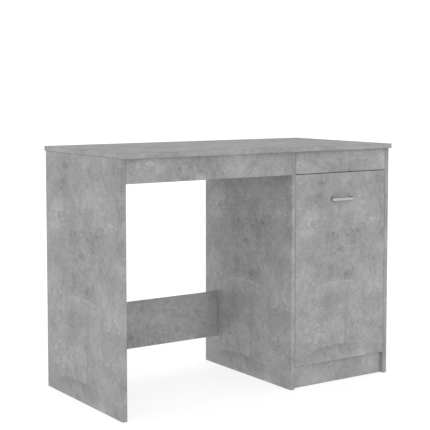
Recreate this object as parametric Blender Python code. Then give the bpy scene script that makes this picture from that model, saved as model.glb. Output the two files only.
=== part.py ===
"""Writing desk: an open knee-hole on the left, a cabinet with a drawer and a hinged door on the right.

Metres, +Z up, the front towards -Y and the user's right hand towards +X.
The origin is on the floor, under the middle of the desktop.
"""

from math import cos, pi, radians, sin

import bmesh
import bpy
from mathutils import Matrix, Vector

# --- Driving dimensions -------------------------------------------------------------------------

WIDTH = 1.000
DEPTH = 0.500
HEIGHT = 0.760
BOARD = 0.015            # thickness of every main board
GAP = 0.0003             # assembly gap between two pieces that touch
FRONT_OVERHANG = 0.014   # desktop past the panels' front edges
BACK_OVERHANG = 0.009    # desktop past the panels' back edges
CABINET_WIDTH = 0.400    # over both cabinet panels

APRON_HEIGHT = 0.071
STRETCHER_LOW = 0.098
STRETCHER_HEIGHT = 0.152
STRETCHER_INSET = 0.056  # back of the stretcher, ahead of the panels' back edges

PLINTH_HEIGHT = 0.070
PLINTH_RECESS = 0.0145   # plinth behind the panels' front edges
DOOR_LOW = 0.072
DOOR_HIGH = 0.6732
FRONT_SIDE_GAP = 0.001   # door and drawer front to the panels
DOOR_TOP_GAP = 0.0021    # door to drawer front
DRAWER_TOP_GAP = 0.0012
DIVIDER_DROP = 0.0005    # divider board's top below the door's top
INNER_BOARD_GAP = 0.0015  # back of the fronts to the edges of the boards behind them

BACK_THICKNESS = 0.003
BACK_INSET = 0.010       # back panel ahead of the panels' back edges
BACK_DROP = 0.010        # back panel below the underside of the bottom board
BACK_SLACK = 0.0005      # back panel to the ends of its grooves
GROOVE_DEPTH = 0.007

SHELF_Z = 0.375
SHELF_DEPTH = 0.400
SHELF_BACK_GAP = 0.002
SHELF_SIDE_GAP = 0.001
PIN_INSET = 0.037        # shelf pins, in from the shelf's front and back edges
PIN_PITCH = 0.064        # spacing of the shelf's pin holes

DRAWER_BOARD = 0.012
DRAWER_SIDE_HEIGHT = 0.055
DRAWER_SIDE_LENGTH = 0.400
DRAWER_SIDE_LOW = 0.6785
DRAWER_BOTTOM_RISE = 0.0095  # underside of the drawer's bottom above its sides' lower edges
DRAWER_GROOVE = 0.006    # depth of the bottom's grooves in the drawer's sides
DRAWER_FRONT_GROOVE = 0.0055
RUNNER_SPACE = 0.0125    # panel to drawer side, the width that the runners need

FINGER_HALF_WIDTH = 0.120  # finger pull under the drawer front
FINGER_DEPTH = 0.009
FINGER_LIP = 0.001
FINGER_RISE = 0.010

HANDLE_Z = 0.590
HANDLE_LENGTH = 0.088
HANDLE_PROJECTION = 0.018
HANDLE_BAR = 0.009       # height of the bar
HANDLE_FOOT = 0.011      # length of each foot on the door
HANDLE_SHOULDER = 0.019  # length of the curve from a foot to the bar
HANDLE_THICKNESS = 0.0042
HANDLE_SCREW_SPACING = 0.076
HANDLE_SCREW_RADIUS = 0.002
HANDLE_SCREW_HEAD = 0.004
HANDLE_SCREW_HEAD_END = 0.0018  # top of the screw's head, behind the door
HANDLE_HOLE_RADIUS = 0.0024
HANDLE_SCREW_DEPTH = 0.005  # reach into the handle's foot

HINGE_HEIGHTS = {"lower": 0.165, "upper": 0.578}
CUP_RADIUS = 0.0175
CUP_DEPTH = 0.0115
CUP_EDGE = 0.004         # cup to the door's hinged edge
PIVOT_IN = 0.004         # hinge axis, in from the door's hinged edge
PIVOT_BACK = 0.0025      # hinge axis, behind the door's front face

# --- Planes that follow from them ---------------------------------------------------------------

TOP_UNDER = HEIGHT - BOARD
LEFT = -WIDTH / 2
RIGHT = WIDTH / 2
PANEL_FRONT = -DEPTH / 2 + FRONT_OVERHANG
PANEL_BACK = DEPTH / 2 - BACK_OVERHANG
KNEE_LEFT = LEFT + BOARD
KNEE_RIGHT = RIGHT - CABINET_WIDTH
CABINET_LEFT = KNEE_RIGHT + BOARD
CABINET_RIGHT = RIGHT - BOARD
CABINET_MIDDLE = (CABINET_LEFT + CABINET_RIGHT) / 2
FRONT_BACK = PANEL_FRONT + BOARD                 # back face of the door and the drawer front
INNER_FRONT = FRONT_BACK + INNER_BOARD_GAP       # front edge of the boards behind them
APRON_LOW = TOP_UNDER - APRON_HEIGHT
STRETCHER_BACK = PANEL_BACK - STRETCHER_INSET
DIVIDER_HIGH = DOOR_HIGH - DIVIDER_DROP
DRAWER_FRONT_LOW = DOOR_HIGH + DOOR_TOP_GAP
BACK_FRONT = PANEL_BACK - BACK_INSET - BACK_THICKNESS
INNER_BACK = BACK_FRONT - GAP                    # back edge of the cabinet's inner boards
DRAWER_LEFT = CABINET_LEFT + RUNNER_SPACE
DRAWER_RIGHT = CABINET_RIGHT - RUNNER_SPACE
DRAWER_BOX_BACK = FRONT_BACK + GAP + DRAWER_SIDE_LENGTH
DRAWER_SIDE_HIGH = DRAWER_SIDE_LOW + DRAWER_SIDE_HEIGHT
DRAWER_BOTTOM_LOW = DRAWER_SIDE_LOW + DRAWER_BOTTOM_RISE
DOOR_RIGHT = CABINET_RIGHT - FRONT_SIDE_GAP
PIVOT = Vector((DOOR_RIGHT - PIVOT_IN, PANEL_FRONT + PIVOT_BACK, 0.0))

# --- Fittings -----------------------------------------------------------------------------------

CAM_RADIUS = 0.0075
CAM_FLOOR = 0.003        # board left under a cam
CAM_TO_JOINT = 0.034     # cam's centre to the joint between the boards
TOP_CAM_INSET = 0.060    # cams under the top, in from the panels' front and back edges
INNER_CAM_FRONT = 0.080  # cams of the cabinet's boards, in from the panels' front edges
INNER_CAM_REAR = 0.070
DRAWER_CAM_RISE = 0.034  # drawer's cams above its sides' lower edges
BOLT_THREAD_RADIUS = 0.003
BOLT_SHANK_RADIUS = 0.0025
BOLT_THREAD_LENGTH = 0.0105
SCREW_RADIUS = 0.0015
SCREW_HEAD_RADIUS = 0.0035
SCREW_HEAD_HEIGHT = 0.0008
SCREW_LENGTH = 0.009     # reach into the board
SCREW_BORE = SCREW_RADIUS + GAP
OVERCUT = 0.001          # a cutter stands this far out of the surface that it cuts
SHELF_PIN_RADIUS = 0.0025
SHELF_PIN_IN = 0.009
SHELF_PIN_OUT = 0.008

RAIL_SHEET = 0.0012      # sheet steel of the runners
RAIL_LOW = 0.6735
RAIL_HEIGHT = 0.0232
RAIL_REACH = 0.0095      # channel flanges, out from the panel
ROLLER_RADIUS = 0.010
ROLLER_NEAR = 0.0042     # roller's faces, out from the panel
ROLLER_FAR = 0.0088
AXLE_RADIUS = 0.0025
AXLE_HEAD = 0.004
AXLE_HEAD_THICKNESS = 0.0007
ROLLER_CLEARANCE = 0.003
RAIL_SETBACK = 0.003     # panel's rail, behind the fronts
RAIL_FOOT = 0.010        # width of the foot under the drawer's side
RAIL_SCREW_FRONT = 0.035  # panel rail's first screw, behind the front roller
RAIL_SCREW_REAR = 0.020  # its last screw, ahead of the drawer's back
DRAWER_SCREW_INSET = 0.075
DRAWER_SCREW_RISE = 0.0045
LIP_NEAR = 0.0035        # lip's edge, out from the panel
FRONT_ROLLER_Y = PANEL_FRONT + 0.031
FRONT_ROLLER_Z = RAIL_LOW + 0.0137
REAR_ROLLER_Y = DRAWER_BOX_BACK - 0.014
REAR_ROLLER_Z = RAIL_LOW + RAIL_HEIGHT / 2
LIP_LOW = FRONT_ROLLER_Z + ROLLER_RADIUS + GAP

X = Vector((1.0, 0.0, 0.0))
Y = Vector((0.0, 1.0, 0.0))
Z = Vector((0.0, 0.0, 1.0))


# --- Scene, materials and objects ---------------------------------------------------------------

def clear_scene():
    for old in list(bpy.data.objects):
        bpy.data.objects.remove(old, do_unlink=True)


def finish(name, colour, roughness, metallic=0.0):
    """A plain Principled material."""
    made = bpy.data.materials.new(name)
    made.use_nodes = True
    shader = made.node_tree.nodes["Principled BSDF"]
    shader.inputs["Base Color"].default_value = (*colour, 1.0)
    shader.inputs["Roughness"].default_value = roughness
    shader.inputs["Metallic"].default_value = metallic
    return made


def pivot(name, place):
    """An empty on a joint's axis, for the pieces that move with it."""
    made = bpy.data.objects.new(name, None)
    made.empty_display_size = 0.02
    made.location = place
    bpy.context.collection.objects.link(made)
    return made


def as_object(name, shape, coat, parent=None):
    """A bmesh in world coordinates as a named object with its origin in the middle of its box."""
    bmesh.ops.recalc_face_normals(shape, faces=shape.faces)
    low = Vector([min(v.co[i] for v in shape.verts) for i in range(3)])
    high = Vector([max(v.co[i] for v in shape.verts) for i in range(3)])
    middle = (low + high) / 2
    bmesh.ops.translate(shape, verts=shape.verts, vec=-middle)
    mesh = bpy.data.meshes.new(name)
    shape.to_mesh(mesh)
    shape.free()
    made = bpy.data.objects.new(name, mesh)
    bpy.context.collection.objects.link(made)
    made.location = middle
    if parent:
        made.parent = parent
        made.location = middle - parent.location
    if coat:
        mesh.materials.append(coat)
    return made


def smooth(piece, angle=35.0):
    piece.data.shade_smooth()
    piece.data.set_sharp_from_angle(angle=radians(angle))


def boolean(piece, shape, label, operation="DIFFERENCE"):
    """Cut a bmesh out of a piece, or join it on. The cutter stays as a hidden wire object."""
    cutter = as_object(f"{piece.name}_{label}", shape, None, piece.parent)
    cutter.hide_render = True
    cutter.display_type = "WIRE"
    step = piece.modifiers.new(label, "BOOLEAN")
    step.operation = operation
    step.solver = "EXACT"
    step.object = cutter


# --- Shapes, added to a bmesh in world coordinates ----------------------------------------------

def add_box(shape, low, high):
    low = Vector(low)
    high = Vector(high)
    size = high - low
    place = Matrix.Translation((low + high) / 2) @ Matrix.Diagonal((*size, 1.0))
    bmesh.ops.create_cube(shape, size=1.0, matrix=place)


def add_box_between(shape, corner, other):
    """A box between any two opposite corners."""
    low = [min(a, b) for a, b in zip(corner, other)]
    high = [max(a, b) for a, b in zip(corner, other)]
    add_box(shape, low, high)


def add_rod(shape, start, end, radius, sides=12):
    """A closed cylinder from one point to another. Sides in fours keep rods and their bores in line."""
    start = Vector(start)
    end = Vector(end)
    along = end - start
    turn = along.to_track_quat("Z", "Y").to_matrix().to_4x4()
    bmesh.ops.create_cone(
        shape, cap_ends=True, segments=sides, radius1=radius, radius2=radius,
        depth=along.length, matrix=Matrix.Translation((start + end) / 2) @ turn,
    )


def add_turned(shape, start, along, profile, sides=12):
    """A closed turned shape: profile lists (distance along the axis, radius) from end to end."""
    turn = along.to_track_quat("Z", "Y").to_matrix()
    rings = []
    for distance, radius in profile:
        ring = []
        for k in range(sides):
            angle = 2 * pi * k / sides
            spoke = turn @ Vector((cos(angle) * radius, sin(angle) * radius, distance))
            ring.append(shape.verts.new(Vector(start) + spoke))
        rings.append(ring)
    for near, far in zip(rings, rings[1:]):
        for k in range(sides):
            after = (k + 1) % sides
            shape.faces.new((near[k], near[after], far[after], far[k]))
    shape.faces.new(list(reversed(rings[0])))
    shape.faces.new(rings[-1])


def add_prism(shape, outline, place, low, high):
    """An outline of (a, b) pairs drawn out from low to high. place turns (a, b, height) into a point."""
    near = [shape.verts.new(place(a, b, low)) for a, b in outline]
    far = [shape.verts.new(place(a, b, high)) for a, b in outline]
    shape.faces.new(near)
    shape.faces.new(list(reversed(far)))
    count = len(outline)
    for k in range(count):
        after = (k + 1) % count
        shape.faces.new((near[k], far[k], far[after], near[after]))


def arc(centre, radius, start, end, steps):
    """Points on a circle between two angles in degrees, both ends included."""
    points = []
    for k in range(steps + 1):
        angle = radians(start + (end - start) * k / steps)
        points.append((centre[0] + radius * cos(angle), centre[1] + radius * sin(angle)))
    return points


def bow(half_span, rise, shoulder, steps):
    """Half a flat bow from (-half_span, 0) to its mirror image: a rounded shoulder, a straight bar at
    height rise, a rounded shoulder. Each shoulder is a quarter of an ellipse."""
    left = []
    for k in range(steps + 1):
        angle = pi / 2 * k / steps
        left.append((-half_span + shoulder * (1 - cos(angle)), rise * sin(angle)))
    right = [(-across, out) for across, out in reversed(left)]
    return left + right


# --- Fittings that join the boards --------------------------------------------------------------

class Hardware:
    """The fittings of one body, and the bores that they need in the boards."""

    def __init__(self, steel, parent=None):
        self.steel = steel
        self.parent = parent
        self.cam_bores = {}
        self.bores = {}

    def bore(self, board, mouth, into, radius, depth, sides=8):
        """A blind bore from a mouth on the board's surface."""
        cutter = self.bores.setdefault(board, bmesh.new())
        add_rod(cutter, Vector(mouth) - into * OVERCUT, Vector(mouth) + into * depth, radius, sides)

    def cam_joint(self, name, cam_board, bolt_board, mouth, into, towards, thickness=BOARD):
        """A cam lock in the face of one board, on the bolt that stands in the other board."""
        mouth = Vector(mouth)
        joint = mouth + into * (thickness / 2) + towards * CAM_TO_JOINT
        length = thickness - CAM_FLOOR
        cutter = self.cam_bores.setdefault(cam_board, bmesh.new())
        add_rod(cutter, mouth - into * OVERCUT, mouth + into * (length + GAP), CAM_RADIUS + GAP, 16)
        cam = bmesh.new()
        add_rod(cam, mouth + into * GAP, mouth + into * length, CAM_RADIUS, 16)
        fitting = as_object(name, cam, self.steel, self.parent)
        bolt = bmesh.new()
        profile = [
            (-BOLT_THREAD_LENGTH, BOLT_THREAD_RADIUS), (0.0, BOLT_THREAD_RADIUS),
            (0.0, BOLT_SHANK_RADIUS), (CAM_TO_JOINT, BOLT_SHANK_RADIUS),
        ]
        add_turned(bolt, joint, -towards, profile, 8)
        boolean(fitting, bolt, "bolt", "UNION")
        radius = BOLT_THREAD_RADIUS + GAP
        self.bore(cam_board, joint, -towards, radius, CAM_TO_JOINT - CAM_RADIUS / 2)
        self.bore(bolt_board, joint, towards, radius, BOLT_THREAD_LENGTH + GAP)

    def drill(self, boards):
        for name, cutter in self.cam_bores.items():
            boolean(boards[name], cutter, "cam_bores")
        for name, cutter in self.bores.items():
            boolean(boards[name], cutter, "bores")


def add_screw(shape, face, along, sheet):
    """A small screw through a sheet. face is on the board, along points out of it."""
    head = sheet + SCREW_HEAD_HEIGHT
    profile = [
        (-SCREW_LENGTH, SCREW_RADIUS), (sheet, SCREW_RADIUS),
        (sheet, SCREW_HEAD_RADIUS), (head, SCREW_HEAD_RADIUS),
    ]
    add_turned(shape, face, along, profile, 8)


# --- Boards -------------------------------------------------------------------------------------

def board(name, low, high, coat, parent=None):
    shape = bmesh.new()
    add_box(shape, low, high)
    return as_object(name, shape, coat, parent)


def frame_boards(laminate, hardboard):
    """The boards that never move, by name."""
    top = TOP_UNDER - GAP
    boards = {
        "top_board": board(
            "top_board", (LEFT, -DEPTH / 2, TOP_UNDER), (RIGHT, DEPTH / 2, HEIGHT), laminate),
        "left_side_panel": board(
            "left_side_panel", (LEFT, PANEL_FRONT, 0), (KNEE_LEFT, PANEL_BACK, top), laminate),
        "middle_side_panel": board(
            "middle_side_panel",
            (KNEE_RIGHT, PANEL_FRONT, 0), (CABINET_LEFT, PANEL_BACK, top), laminate),
        "right_side_panel": board(
            "right_side_panel",
            (CABINET_RIGHT, PANEL_FRONT, 0), (RIGHT, PANEL_BACK, top), laminate),
        "knee_apron": board(
            "knee_apron",
            (KNEE_LEFT + GAP, PANEL_FRONT, APRON_LOW),
            (KNEE_RIGHT - GAP, PANEL_FRONT + BOARD, top), laminate),
        "rear_stretcher": board(
            "rear_stretcher",
            (KNEE_LEFT + GAP, STRETCHER_BACK - BOARD, STRETCHER_LOW),
            (KNEE_RIGHT - GAP, STRETCHER_BACK, STRETCHER_LOW + STRETCHER_HEIGHT), laminate),
        "cabinet_plinth": board(
            "cabinet_plinth",
            (CABINET_LEFT + GAP, PANEL_FRONT + PLINTH_RECESS, 0),
            (CABINET_RIGHT - GAP, PANEL_FRONT + PLINTH_RECESS + BOARD, PLINTH_HEIGHT - GAP), laminate),
        "cabinet_bottom_board": board(
            "cabinet_bottom_board",
            (CABINET_LEFT + GAP, INNER_FRONT, PLINTH_HEIGHT),
            (CABINET_RIGHT - GAP, INNER_BACK, PLINTH_HEIGHT + BOARD), laminate),
        "drawer_divider_board": board(
            "drawer_divider_board",
            (CABINET_LEFT + GAP, INNER_FRONT, DIVIDER_HIGH - BOARD),
            (CABINET_RIGHT - GAP, INNER_BACK, DIVIDER_HIGH), laminate),
        "adjustable_shelf": board(
            "adjustable_shelf",
            (CABINET_LEFT + SHELF_SIDE_GAP, BACK_FRONT - SHELF_BACK_GAP - SHELF_DEPTH, SHELF_Z),
            (CABINET_RIGHT - SHELF_SIDE_GAP, BACK_FRONT - SHELF_BACK_GAP, SHELF_Z + BOARD), laminate),
        "cabinet_back_panel": board(
            "cabinet_back_panel",
            (CABINET_LEFT - GROOVE_DEPTH + BACK_SLACK, BACK_FRONT, PLINTH_HEIGHT - BACK_DROP + GAP),
            (CABINET_RIGHT + GROOVE_DEPTH - BACK_SLACK, BACK_FRONT + BACK_THICKNESS, top), hardboard),
    }
    sides = (
        ("middle_side_panel", CABINET_LEFT, -1), ("right_side_panel", CABINET_RIGHT, 1))
    for panel, face, into in sides:
        groove = bmesh.new()
        add_box_between(
            groove,
            (face - into * OVERCUT, BACK_FRONT - GAP, PLINTH_HEIGHT - BACK_DROP),
            (face + into * GROOVE_DEPTH, BACK_FRONT + BACK_THICKNESS + GAP, HEIGHT))
        boolean(boards[panel], groove, "back_groove")
    return boards


def join_frame(hardware):
    """The cam fittings of the fixed frame."""
    panels = (
        ("left", "left_side_panel", KNEE_LEFT, -X),
        ("middle", "middle_side_panel", CABINET_LEFT, -X),
        ("right", "right_side_panel", CABINET_RIGHT, X),
    )
    cam_z = TOP_UNDER - CAM_TO_JOINT
    for side, panel, face, into in panels:
        for end, y in (("front", PANEL_FRONT + TOP_CAM_INSET), ("rear", PANEL_BACK - TOP_CAM_INSET)):
            hardware.cam_joint(
                f"top_cam_{side}_{end}", panel, "top_board", (face, y, cam_z), into, Z)

    apron_z = APRON_LOW + APRON_HEIGHT / 2
    stretcher_z = STRETCHER_LOW + STRETCHER_HEIGHT / 2
    knee_ends = (
        ("left", "left_side_panel", KNEE_LEFT, -X), ("right", "middle_side_panel", KNEE_RIGHT, X))
    for side, panel, face, towards in knee_ends:
        cam_x = face - towards.x * CAM_TO_JOINT
        hardware.cam_joint(
            f"apron_cam_{side}", "knee_apron", panel,
            (cam_x, PANEL_FRONT + BOARD, apron_z), -Y, towards)
        hardware.cam_joint(
            f"stretcher_cam_{side}", "rear_stretcher", panel,
            (cam_x, STRETCHER_BACK, stretcher_z), -Y, towards)

    cabinet_ends = (
        ("left", "middle_side_panel", CABINET_LEFT, -X),
        ("right", "right_side_panel", CABINET_RIGHT, X),
    )
    for side, panel, face, towards in cabinet_ends:
        cam_x = face - towards.x * CAM_TO_JOINT
        for end, y in (("front", PANEL_FRONT + INNER_CAM_FRONT), ("rear", PANEL_BACK - INNER_CAM_REAR)):
            hardware.cam_joint(
                f"bottom_cam_{side}_{end}", "cabinet_bottom_board", panel,
                (cam_x, y, PLINTH_HEIGHT), Z, towards)
            hardware.cam_joint(
                f"divider_cam_{side}_{end}", "drawer_divider_board", panel,
                (cam_x, y, DIVIDER_HIGH - BOARD), Z, towards)


def shelf_pins(hardware):
    """Four pins under the shelf, in rows of three holes at each corner."""
    rows = (
        ("front", BACK_FRONT - SHELF_BACK_GAP - SHELF_DEPTH + PIN_INSET),
        ("rear", BACK_FRONT - SHELF_BACK_GAP - PIN_INSET),
    )
    pin_z = SHELF_Z - SHELF_PIN_RADIUS - GAP
    sides = (
        ("left", "middle_side_panel", CABINET_LEFT, -X), ("right", "right_side_panel", CABINET_RIGHT, X))
    for side, panel, face, into in sides:
        for end, y in rows:
            for step in (-1, 0, 1):
                mouth = Vector((face, y, pin_z + step * PIN_PITCH))
                hardware.bore(panel, mouth, into, SHELF_PIN_RADIUS + GAP, SHELF_PIN_IN + GAP)
            pin = Vector((face, y, pin_z))
            shape = bmesh.new()
            add_rod(shape, pin + into * SHELF_PIN_IN, pin - into * SHELF_PIN_OUT, SHELF_PIN_RADIUS, 8)
            as_object(f"shelf_pin_{side}_{end}", shape, hardware.steel)


# --- Drawer -------------------------------------------------------------------------------------

def drawer_box(slide, laminate, hardboard):
    """The drawer's boards, by name."""
    side_front = FRONT_BACK + GAP
    inner_left = DRAWER_LEFT + DRAWER_BOARD
    inner_right = DRAWER_RIGHT - DRAWER_BOARD
    bottom_front = FRONT_BACK - DRAWER_FRONT_GROOVE + BACK_SLACK
    bottom_high = DRAWER_BOTTOM_LOW + BACK_THICKNESS
    groove_low = DRAWER_BOTTOM_LOW - GAP
    groove_high = bottom_high + GAP
    boards = {
        "drawer_front": board(
            "drawer_front",
            (CABINET_LEFT + FRONT_SIDE_GAP, PANEL_FRONT, DRAWER_FRONT_LOW),
            (DOOR_RIGHT, FRONT_BACK, TOP_UNDER - DRAWER_TOP_GAP), laminate, slide),
        "drawer_side_left": board(
            "drawer_side_left",
            (DRAWER_LEFT, side_front, DRAWER_SIDE_LOW),
            (inner_left, DRAWER_BOX_BACK, DRAWER_SIDE_HIGH), laminate, slide),
        "drawer_side_right": board(
            "drawer_side_right",
            (inner_right, side_front, DRAWER_SIDE_LOW),
            (DRAWER_RIGHT, DRAWER_BOX_BACK, DRAWER_SIDE_HIGH), laminate, slide),
        "drawer_back": board(
            "drawer_back",
            (inner_left + GAP, DRAWER_BOX_BACK - DRAWER_BOARD, bottom_high + GAP),
            (inner_right - GAP, DRAWER_BOX_BACK, DRAWER_SIDE_HIGH), laminate, slide),
        "drawer_bottom": board(
            "drawer_bottom",
            (inner_left - DRAWER_GROOVE + GAP, bottom_front, DRAWER_BOTTOM_LOW),
            (inner_right + DRAWER_GROOVE - GAP, DRAWER_BOX_BACK, bottom_high),
            hardboard, slide),
    }
    for side, face, into in (("left", inner_left, -1), ("right", inner_right, 1)):
        groove = bmesh.new()
        add_box_between(
            groove, (face - into * OVERCUT, side_front - OVERCUT, groove_low),
            (face + into * DRAWER_GROOVE, DRAWER_BOX_BACK + OVERCUT, groove_high))
        boolean(boards[f"drawer_side_{side}"], groove, "bottom_groove")
    groove = bmesh.new()
    add_box(
        groove, (inner_left - DRAWER_GROOVE, FRONT_BACK - DRAWER_FRONT_GROOVE, groove_low),
        (inner_right + DRAWER_GROOVE, FRONT_BACK + OVERCUT, groove_high))
    boolean(boards["drawer_front"], groove, "bottom_groove")
    finger_pull(boards["drawer_front"])
    return boards


def finger_pull(front):
    """A sloping groove along the front's lower back edge: the front has no handle."""
    slope = bmesh.new()
    below = DRAWER_FRONT_LOW - OVERCUT
    outline = [
        (FRONT_BACK + OVERCUT, below), (FRONT_BACK - FINGER_DEPTH, below),
        (FRONT_BACK - FINGER_DEPTH, DRAWER_FRONT_LOW + FINGER_LIP),
        (FRONT_BACK + OVERCUT, DRAWER_FRONT_LOW + FINGER_RISE),
    ]
    add_prism(
        slope, outline, lambda a, b, height: Vector((height, a, b)),
        CABINET_MIDDLE - FINGER_HALF_WIDTH, CABINET_MIDDLE + FINGER_HALF_WIDTH)
    boolean(front, slope, "finger_pull")


def join_drawer(hardware):
    """The cam fittings between the drawer's front and its sides."""
    sides = (
        ("left", DRAWER_LEFT + DRAWER_BOARD, -X), ("right", DRAWER_RIGHT - DRAWER_BOARD, X))
    for side, face, into in sides:
        hardware.cam_joint(
            f"drawer_cam_{side}", f"drawer_side_{side}", "drawer_front",
            (face, FRONT_BACK + CAM_TO_JOINT, DRAWER_SIDE_LOW + DRAWER_CAM_RISE), into, -Y, DRAWER_BOARD)


# --- Runners ------------------------------------------------------------------------------------

def along_y(face, out):
    """Sections drawn as (distance out from the panel, height), extruded along Y."""
    return lambda a, b, y: Vector((face + out * a, y, b))


def cabinet_rail(side, face, out, hardware):
    """A channel on the panel, cut back at the front for the roller that carries the drawer."""
    low = RAIL_LOW
    high = RAIL_LOW + RAIL_HEIGHT
    sheet = RAIL_SHEET
    web = GAP + sheet
    outline = [
        (GAP, low), (RAIL_REACH, low), (RAIL_REACH, low + sheet), (web, low + sheet),
        (web, high - sheet), (RAIL_REACH, high - sheet), (RAIL_REACH, high), (GAP, high),
    ]
    shape = bmesh.new()
    front = FRONT_BACK + RAIL_SETBACK
    add_prism(shape, outline, along_y(face, out), front, front + DRAWER_SIDE_LENGTH)
    rail = as_object(f"cabinet_rail_{side}", shape, hardware.steel)
    notch = bmesh.new()
    add_box_between(
        notch, (face + out * (web + GAP), front - OVERCUT, high - sheet - OVERCUT),
        (face + out * RUNNER_SPACE, FRONT_ROLLER_Y + ROLLER_RADIUS + ROLLER_CLEARANCE, high + OVERCUT))
    boolean(rail, notch, "roller_notch")
    studs = bmesh.new()
    panel = "middle_side_panel" if out > 0 else "right_side_panel"
    middle = (FRONT_BACK + DRAWER_BOX_BACK) / 2
    for y in (FRONT_ROLLER_Y + RAIL_SCREW_FRONT, middle, DRAWER_BOX_BACK - RAIL_SCREW_REAR):
        mouth = Vector((face, y, REAR_ROLLER_Z))
        hardware.bore(panel, mouth, -X * out, SCREW_BORE, SCREW_LENGTH + GAP)
        add_screw(studs, mouth, X * out, web)
    axle = Vector((face, FRONT_ROLLER_Y, FRONT_ROLLER_Z))
    add_turned(studs, axle, X * out, axle_profile(GAP + sheet / 2, ROLLER_FAR + GAP))
    boolean(rail, studs, "screws_and_axle", "UNION")


def drawer_rail(side, face, out, hardware):
    """A folded strip under the drawer's side, with a lip that rides on the panel's front roller."""
    sheet = RAIL_SHEET
    web_far = RUNNER_SPACE - GAP
    web_near = web_far - sheet
    foot_high = DRAWER_SIDE_LOW - GAP
    foot_low = foot_high - sheet
    foot_far = RUNNER_SPACE + RAIL_FOOT
    outline = [
        (web_near, foot_low), (foot_far, foot_low), (foot_far, foot_high), (web_far, foot_high),
        (web_far, LIP_LOW + sheet), (LIP_NEAR, LIP_LOW + sheet), (LIP_NEAR, LIP_LOW),
        (web_near, LIP_LOW),
    ]
    shape = bmesh.new()
    add_prism(
        shape, outline, along_y(face, out), FRONT_BACK + OVERCUT, DRAWER_BOX_BACK - OVERCUT)
    rail = as_object(f"drawer_rail_{side}", shape, hardware.steel, hardware.parent)
    studs = bmesh.new()
    surface = face + out * RUNNER_SPACE
    for y in (FRONT_BACK + DRAWER_SCREW_INSET, DRAWER_BOX_BACK - DRAWER_SCREW_INSET):
        mouth = Vector((surface, y, DRAWER_SIDE_LOW + DRAWER_SCREW_RISE))
        hardware.bore(f"drawer_side_{side}", mouth, X * out, SCREW_BORE, SCREW_LENGTH + GAP)
        add_screw(studs, mouth, -X * out, GAP + sheet)
    axle = Vector((surface, REAR_ROLLER_Y, REAR_ROLLER_Z))
    reach = RUNNER_SPACE - ROLLER_NEAR + GAP
    add_turned(studs, axle, -X * out, axle_profile(GAP + sheet / 2, reach))
    boolean(rail, studs, "screws_and_axle", "UNION")


def axle_profile(start, end):
    """A riveted axle from its rail to its head, which keeps the roller on."""
    head = end + AXLE_HEAD_THICKNESS
    return [(start, AXLE_RADIUS), (end, AXLE_RADIUS), (end, AXLE_HEAD), (head, AXLE_HEAD)]


def roller(name, face, out, y, z, parent, nylon):
    """A nylon wheel on its own empty, which lies on the wheel's axis."""
    middle = Vector((face + out * (ROLLER_NEAR + ROLLER_FAR) / 2, y, z))
    hub = pivot(f"{name}_axis", middle)
    if parent:
        hub.parent = parent
        hub.location = middle - parent.location
    half = X * (ROLLER_FAR - ROLLER_NEAR) / 2
    shape = bmesh.new()
    add_rod(shape, middle - half, middle + half, ROLLER_RADIUS, 16)
    wheel = as_object(name, shape, nylon)
    bore = bmesh.new()
    add_rod(bore, middle - half * 2, middle + half * 2, AXLE_RADIUS + GAP, 12)
    boolean(wheel, bore, "axle_bore")
    for piece in (wheel, wheel.modifiers["axle_bore"].object):
        piece.parent = hub
        piece.location = (0.0, 0.0, 0.0)
    smooth(wheel)


def runners(hardware, drawer_hardware, nylon):
    """Both runners: the rails, with their screws and axles, and the rollers."""
    slide = drawer_hardware.parent
    for side, face, out in (("left", CABINET_LEFT, 1), ("right", CABINET_RIGHT, -1)):
        cabinet_rail(side, face, out, hardware)
        drawer_rail(side, face, out, drawer_hardware)
        roller(f"front_roller_{side}", face, out, FRONT_ROLLER_Y, FRONT_ROLLER_Z, None, nylon)
        roller(f"rear_roller_{side}", face, out, REAR_ROLLER_Y, REAR_ROLLER_Z, slide, nylon)


# --- Door ---------------------------------------------------------------------------------------

def door(swing, laminate, aluminium, steel):
    """The door with its handle and the handle's screws. Returns the door panel."""
    panel = board(
        "door_panel",
        (CABINET_LEFT + FRONT_SIDE_GAP, PANEL_FRONT, DOOR_LOW),
        (DOOR_RIGHT, FRONT_BACK, DOOR_HIGH), laminate, swing)

    outer = bow(HANDLE_LENGTH / 2, HANDLE_PROJECTION, HANDLE_SHOULDER, 8)
    inner = bow(
        HANDLE_LENGTH / 2 - HANDLE_FOOT, HANDLE_PROJECTION - HANDLE_THICKNESS,
        HANDLE_SHOULDER - HANDLE_FOOT + HANDLE_THICKNESS, 6)
    shape = bmesh.new()
    add_prism(
        shape, outer + list(reversed(inner)),
        lambda a, b, z: Vector((CABINET_MIDDLE + a, PANEL_FRONT - GAP - b, z)),
        HANDLE_Z - HANDLE_BAR / 2, HANDLE_Z + HANDLE_BAR / 2)
    handle = as_object("door_handle", shape, aluminium, swing)

    through = bmesh.new()
    tapped = bmesh.new()
    shank = HANDLE_SCREW_RADIUS
    head = HANDLE_SCREW_HEAD
    screw_end = -BOARD - HANDLE_SCREW_DEPTH
    for side, across in (("left", -HANDLE_SCREW_SPACING / 2), ("right", HANDLE_SCREW_SPACING / 2)):
        place = Vector((CABINET_MIDDLE + across, FRONT_BACK, HANDLE_Z))
        add_rod(through, place + Y * OVERCUT, place - Y * (BOARD + OVERCUT), HANDLE_HOLE_RADIUS, 12)
        add_rod(tapped, place - Y * (BOARD - OVERCUT), place + Y * (screw_end - GAP), shank + GAP, 12)
        profile = [(screw_end, shank), (GAP, shank), (GAP, head), (HANDLE_SCREW_HEAD_END, head)]
        screw = bmesh.new()
        add_turned(screw, place, Y, profile)
        smooth(as_object(f"handle_screw_{side}", screw, steel, swing))
    boolean(handle, tapped, "screw_bores")
    boolean(panel, through, "handle_holes")
    return panel


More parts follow.
